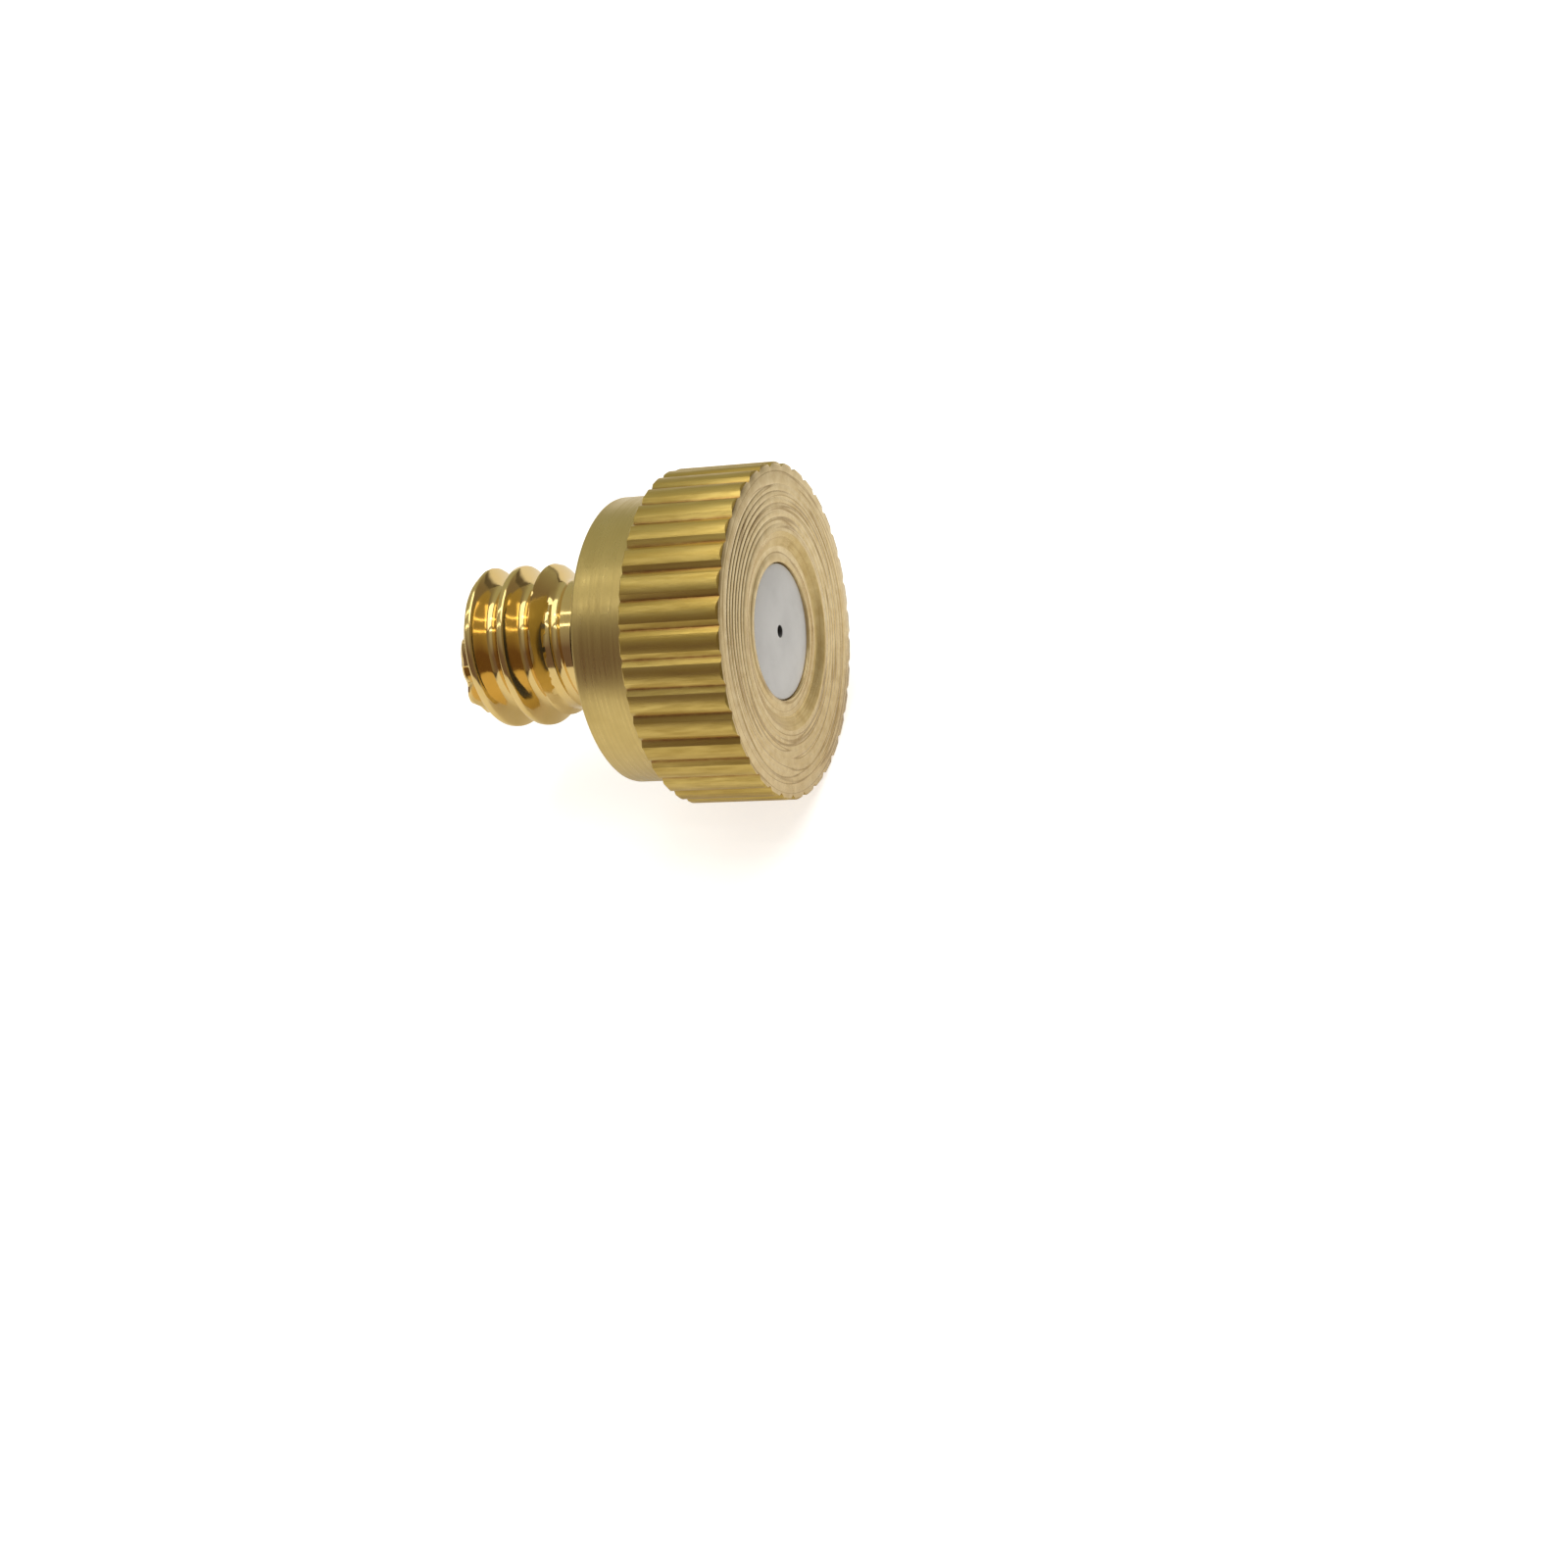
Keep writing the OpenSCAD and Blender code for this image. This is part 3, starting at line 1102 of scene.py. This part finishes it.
    def assign_finishes(self, lathe: Lathe) -> None:
        """Gives the neck the stem's finish, and the recess wall its own darker brass, which paints shade
        into the dish.

        Args:
            lathe: The workpiece.
        """
        for face in lathe.mesh.faces:
            centre = face.calc_center_median()
            radius = math.hypot(centre.y, centre.z)
            at_neck = (
                centre.x < self.groove_x - self.finish_edge and radius < self.neck_r + self.finish_edge)
            at_wall = (
                self.floor_r - self.floor_edge < radius < self.rim_r + self.finish_edge
                and face.normal.x < self.wall_facing)
            if at_neck and face.material_index == BodyFinish.COLLAR:
                face.material_index = BodyFinish.STEM
            elif at_wall and face.material_index == BodyFinish.FACE:
                face.material_index = BodyFinish.SHADED_RECESS


# --- Smaller pieces ------------------------------------------------------------------------


@dataclass
class OrificeInsert:
    """The stainless disc that is pressed into the head, with the fine spray hole in it."""

    hole_r: float = 0.175
    hole_break: float = 0.02
    hole_land: float = 0.3
    whirl_r: float = 0.9
    edge_round: float = 0.03
    rim_gap: float = 0.02
    rim_depth: float = 0.12
    rim_end: float = 0.14
    # Its hole_r paints shade: a black ring over the spray hole's break.
    finish: SteelFinish = SteelFinish(
        title="stainless_ground", colour=(0.94, 0.955, 0.98, 1.0), stain=(0.86, 0.875, 0.90, 1.0),
        metallic=0.45, roughness=0.5, grain_size=0.03, grain_depth=0.0015, hole_r=0.18)

    def build(self, groups: SurfaceGroups) -> bpy.types.Object:
        """Builds the insert as one closed piece.

        Args:
            groups: The shared shader groups.

        Returns:
            The insert.
        """
        low, high = node_span("orifice_insert")
        radius = high.z
        front_r = radius - self.rim_gap
        lathe = Lathe()
        lathe.turn([
            Corner(high.x, self.hole_r + self.hole_break, 0.01), Corner(high.x, front_r, self.edge_round),
            Corner(high.x - self.rim_depth, front_r), Corner(high.x - self.rim_end, radius, 0.01),
            Corner(low.x, radius, 0.02), Corner(low.x, self.whirl_r, 0.02),
            Corner(high.x - self.hole_land, self.hole_r), Corner(high.x - self.hole_break, self.hole_r),
        ], closed=True)
        insert = lathe.finish("spray_insert", [self.finish.make(groups)])
        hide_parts("orifice_insert")
        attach(insert, "nozzle")
        return insert


@dataclass
class SealRing:
    """The rubber O-ring behind the collar, with its moulding flash."""

    around_section: int = 40
    flash: float = 0.012
    flash_w: float = 0.1
    finish: RubberFinish = RubberFinish(
        title="nitrile_rubber", colour=(0.022, 0.022, 0.024, 1.0), dust=(0.07, 0.07, 0.075, 1.0),
        roughness=0.45)

    def build(self, groups: SurfaceGroups) -> bpy.types.Object:
        """Builds the ring as one closed piece.

        Args:
            groups: The shared shader groups.

        Returns:
            The ring.
        """
        low, high = node_span("o_ring")
        section_r = (high.x - low.x) / 2.0
        centre_x = (high.x + low.x) / 2.0
        centre_r = high.z - section_r
        corners = []
        for i in range(self.around_section):
            angle = FULL_TURN * (i + 0.5) / self.around_section
            seam = math.exp(-(math.cos(angle) * section_r / self.flash_w) ** 2)
            reach = section_r - self.flash + self.flash * seam
            corners.append(Corner(centre_x + reach * math.cos(angle), centre_r + reach * math.sin(angle)))
        lathe = Lathe()
        lathe.turn(corners, closed=True)
        ring = lathe.finish("seal_ring", [self.finish.make(groups)])
        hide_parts("o_ring")
        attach(ring, "nozzle")
        return ring


@dataclass
class SwirlCore:
    """The loose swirl core behind the insert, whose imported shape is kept."""

    finish: SteelFinish = SteelFinish(
        title="stainless_turned", colour=(0.62, 0.61, 0.60, 1.0), stain=(0.48, 0.47, 0.46, 1.0),
        metallic=1.0, roughness=0.3, grain_size=0.08, grain_depth=0.0015)

    def dress(self, core: bpy.types.Object, groups: SurfaceGroups) -> None:
        """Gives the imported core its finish.

        Args:
            core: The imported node.
            groups: The shared shader groups.
        """
        material = self.finish.make(groups)
        core.data.materials.clear()
        core.data.materials.append(material)


# --- Studio --------------------------------------------------------------------------------


def facing(place: Vector, right: Vector, up: Vector, back: Vector) -> Matrix:
    """Returns the stand of a lamp or a camera that looks away from its back."""
    return Matrix.Translation(place) @ Matrix((right, up, back)).transposed().to_4x4()


@dataclass(frozen=True)
class Lamp:
    """A flat lamp: where it hangs as seen from the nozzle, its size, and how bright its face is."""

    title: str
    toward: tuple[float, float, float]
    distance: float
    along: float
    across: float
    radiance: float
    colour: tuple[float, float, float] = (1.0, 1.0, 1.0)

    def hang(self) -> bpy.types.Object:
        """Hangs the lamp so that it faces the nozzle.

        Returns:
            The lamp.
        """
        data = bpy.data.lights.new(self.title, "AREA")
        data.shape = "RECTANGLE"
        data.size = self.along
        data.size_y = self.across
        data.energy = self.radiance * math.pi * self.along * self.across
        data.color = self.colour
        lamp = bpy.data.objects.new(self.title, data)
        bpy.context.scene.collection.objects.link(lamp)
        back = Vector(self.toward).normalized()
        side = (SPRAY_AXIS - back * back.dot(SPRAY_AXIS)).normalized()
        up = back.cross(side)
        lamp.matrix_world = facing(back * self.distance, side, up, back)
        lamp.visible_camera = False
        return lamp


@dataclass
class Studio:
    """The floor, the light and the camera."""

    azimuth: float = math.radians(30.8)
    elevation: float = math.radians(39.9)
    roll: float = math.radians(-23.0)
    distance: float = 90.84 * MM
    shift_right: float = 4.41 * MM
    shift_up: float = -4.263 * MM
    lens: float = 70.6
    floor_size: float = 1.2
    floor_glow: float = 0.24
    floor_glow_seen: float = 0.72
    floor_fade: tuple[float, float] = (9.0, 24.0)
    floor_colour: Colour = (0.93, 0.92, 0.91, 1.0)
    floor_shade: Colour = (0.12, 0.10, 0.08, 1.0)
    floor_light: Colour = (1.0, 0.985, 0.97, 1.0)
    floor_roughness: float = 0.7
    room_front: Colour = (0.17, 0.12, 0.11, 1.0)
    room_behind: Colour = (0.42, 0.43, 0.33, 1.0)
    room_aloft: Colour = (0.45, 0.45, 0.40, 1.0)
    room_right: Colour = (0.22, 0.18, 0.13, 1.0)
    room_seen: Colour = (0.97, 0.97, 0.97, 1.0)
    behind_fade: tuple[float, float] = (-0.5, 0.1)
    aloft_fade: tuple[float, float] = (0.5, 0.95)
    right_fade: tuple[float, float] = (0.05, 0.6)
    lamps: tuple[Lamp, ...] = (
        Lamp("tube_rear", (-0.393, 0.098, 0.914), 0.45, 0.5, 0.022, 2.8),
        Lamp("tube_front", (-0.393, -0.2515, 0.885), 0.45, 0.5, 0.022, 2.8),
        Lamp("softbox", (0.15, 0.25, 0.95), 0.45, 0.4, 0.4, 1.5),
    )

    def lay_floor(self) -> None:
        """Lays a pale floor under the nozzle's lowest point."""
        lowest = CAD_BOX[0][2]
        mesh = bmesh.new()
        bmesh.ops.create_circle(mesh, cap_ends=True, segments=64, radius=self.floor_size)
        bmesh.ops.translate(mesh, vec=(0.0, 0.0, lowest), verts=mesh.verts[:])
        data = bpy.data.meshes.new("floor")
        mesh.to_mesh(data)
        mesh.free()
        floor = bpy.data.objects.new("floor", data)
        bpy.context.scene.collection.objects.link(floor)
        material, wiring = new_material("pale_floor")
        seen = wiring.add("ShaderNodeLightPath").outputs["Is Camera Ray"]
        parts = wiring.add("ShaderNodeSeparateXYZ", {0: wiring.place_in_mm()})
        far = wiring.remap(parts.outputs[0], *self.floor_fade)
        unlit = wiring.math("MULTIPLY", far, wiring.math("SUBTRACT", 1.0, seen))
        paint = wiring.blend(unlit, self.floor_colour, self.floor_shade)
        most = wiring.remap(seen, 0.0, 1.0, self.floor_glow, self.floor_glow_seen)
        glow = wiring.remap(unlit, 0.0, 1.0, most, 0.0)
        wiring.surface({
            "Base Color": paint, "Roughness": self.floor_roughness,
            "Emission Color": self.floor_light, "Emission Strength": glow})
        data.materials.append(material)

    def light_world(self) -> None:
        """Lights the room: dim in front, brighter behind and above, and pale to the camera."""
        world = bpy.data.worlds.new("studio")
        world.use_nodes = True
        bpy.context.scene.world = world
        wiring = Wiring(world.node_tree)
        ray = wiring.add("ShaderNodeTexCoord").outputs["Generated"]
        parts = wiring.add("ShaderNodeSeparateXYZ", {0: ray})
        behind = wiring.remap(parts.outputs[1], *self.behind_fade)
        side = wiring.blend(behind, self.room_front, self.room_behind)
        aloft = wiring.remap(parts.outputs[2], *self.aloft_fade)
        shade = wiring.blend(aloft, side, self.room_aloft)
        right = wiring.remap(parts.outputs[0], *self.right_fade)
        room = wiring.blend(right, shade, self.room_right)
        seen = wiring.add("ShaderNodeLightPath").outputs["Is Camera Ray"]
        colour = wiring.blend(seen, room, self.room_seen)
        background = wiring.add("ShaderNodeBackground", {"Color": colour, "Strength": 1.0})
        wiring.add("ShaderNodeOutputWorld", {"Surface": background.outputs[0]})

    def place_camera(self) -> None:
        """Places the camera on the nozzle's upper front side."""
        flat = math.cos(self.elevation)
        back = Vector((
            math.sin(self.azimuth) * flat, -math.cos(self.azimuth) * flat, math.sin(self.elevation)))
        level = Vector((math.cos(self.azimuth), math.sin(self.azimuth), 0.0))
        upright = back.cross(level)
        right = level * math.cos(self.roll) + upright * math.sin(self.roll)
        up = upright * math.cos(self.roll) - level * math.sin(self.roll)
        data = bpy.data.cameras.new("camera")
        data.lens = self.lens
        data.clip_start = MM
        data.clip_end = 10.0
        camera = bpy.data.objects.new("camera", data)
        bpy.context.scene.collection.objects.link(camera)
        place = right * self.shift_right + up * self.shift_up + back * self.distance
        camera.matrix_world = facing(place, right, up, back)
        bpy.context.scene.camera = camera

    def set_up(self) -> None:
        """Sets up the floor, the lamps, the room and the camera."""
        self.lay_floor()
        self.light_world()
        self.place_camera()
        for lamp in self.lamps:
            lamp.hang()
        bpy.context.scene.view_settings.view_transform = "Standard"


def main() -> None:
    """Builds the pieces and sets up the studio."""
    logging.basicConfig(level=logging.INFO, format="%(name)s: %(message)s")
    groups = SurfaceGroups()
    for maker in (BrassBody(), OrificeInsert(), SealRing()):
        piece = maker.build(groups)
        log.info("built %s", piece.name)
    SwirlCore().dress(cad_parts["swirl_core"], groups)
    Studio().set_up()


if __name__ == "__main__":
    main()
